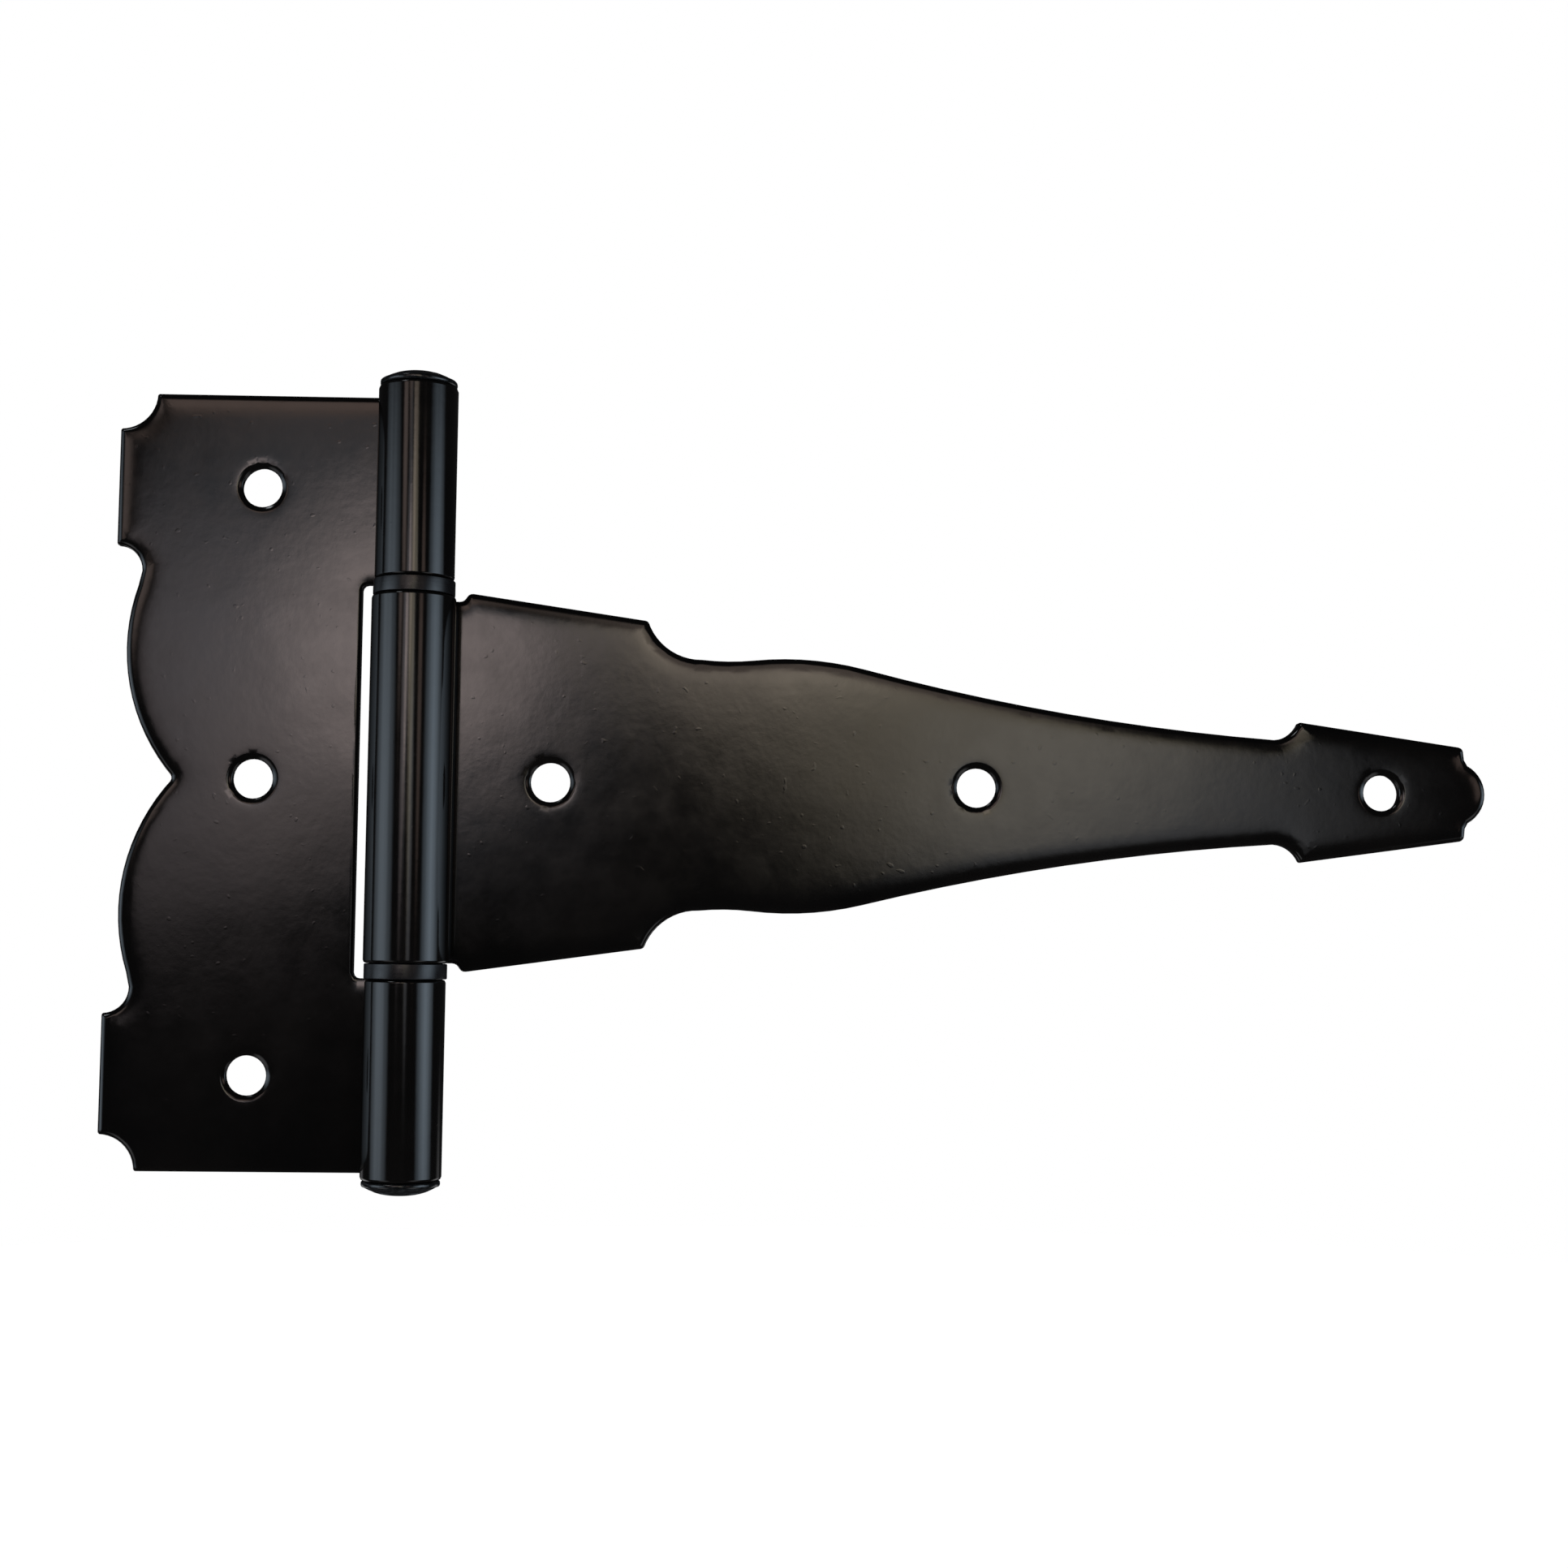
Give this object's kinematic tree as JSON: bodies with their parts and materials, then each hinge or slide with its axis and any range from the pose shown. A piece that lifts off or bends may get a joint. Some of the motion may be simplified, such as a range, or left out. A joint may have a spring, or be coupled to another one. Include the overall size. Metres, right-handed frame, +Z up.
{
  "type": "t hinge",
  "caption": "Black ornamental T hinge: a scalloped jamb leaf and a long tapering strap swing on a riveted pin, with flanged bushes between the rolled knuckles.",
  "frame": {"origin": "on the jamb leaf's flat back face, level with its middle screw hole and the middle of the barrel, 20 mm from the pin's axis", "axes": "+X along the strap from the barrel to its tip, +Z up the pin, +Y out of the back into the post, so the front faces -Y"},
  "size_m": [0.2601, 0.0156, 0.153],
  "materials": {
    "black_coat": "satin-gloss black powder coat with a faint orange peel",
    "pin_coat": "black coat over hammered, riveted steel",
    "black_polymer": "smooth turned black polymer"
  },
  "bodies": {
    "jamb": {"jamb_leaf": "black_coat", "hinge_pin": "pin_coat", "upper_sleeve_bush": "black_polymer", "lower_sleeve_bush": "black_polymer", "top_end_washer": "pin_coat", "bottom_end_washer": "pin_coat"},
    "strap": {"strap_leaf": "black_coat", "upper_flanged_bush": "black_polymer", "lower_flanged_bush": "black_polymer"}
  },
  "joints": [
    {"name": "strap_swing", "type": "hinge", "parent": "jamb", "child": "strap", "pos_m": [0.02, -0.0074, 0], "axis": [0, 0, -1], "range_deg": [-105, 185]}
  ]
}
